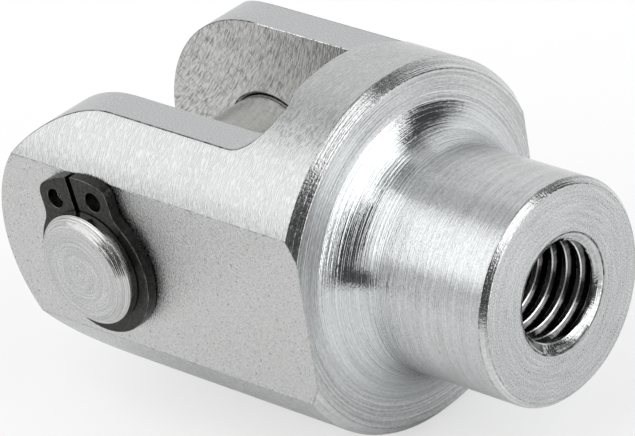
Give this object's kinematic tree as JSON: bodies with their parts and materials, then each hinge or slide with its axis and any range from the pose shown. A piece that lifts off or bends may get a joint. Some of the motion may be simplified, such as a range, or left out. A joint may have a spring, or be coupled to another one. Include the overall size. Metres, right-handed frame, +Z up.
{
  "type": "rod clevis",
  "caption": "Fork head for a cylinder rod: round neck with a tapped hole, milled ears either side of a slot, and a cross pin that turns in the ears, held by retaining rings.",
  "frame": {"origin": "where the pin's axis crosses the axis of the turned bar, midway between the ears", "axes": "+X along the bar's axis from the pin to the tapped neck; +Y along the pin's axis, to the rear ear; +Z up, square to both"},
  "size_m": [0.05, 0.0336, 0.0318],
  "materials": {
    "plated_steel": "turned and milled, zinc plated, bright",
    "pin_steel": "ground, with faced ends",
    "spring_steel": "black phosphated, oiled"
  },
  "bodies": {
    "fork": {"fork_head": "plated_steel"},
    "pin": {"clevis_pin": "pin_steel", "front_retaining_ring": "spring_steel", "rear_retaining_ring": "spring_steel"}
  },
  "joints": [
    {"name": "pin_turn", "type": "hinge", "parent": "fork", "child": "pin", "pos_m": [0, 0, 0], "axis": [0, 1, 0], "continuous": true}
  ]
}
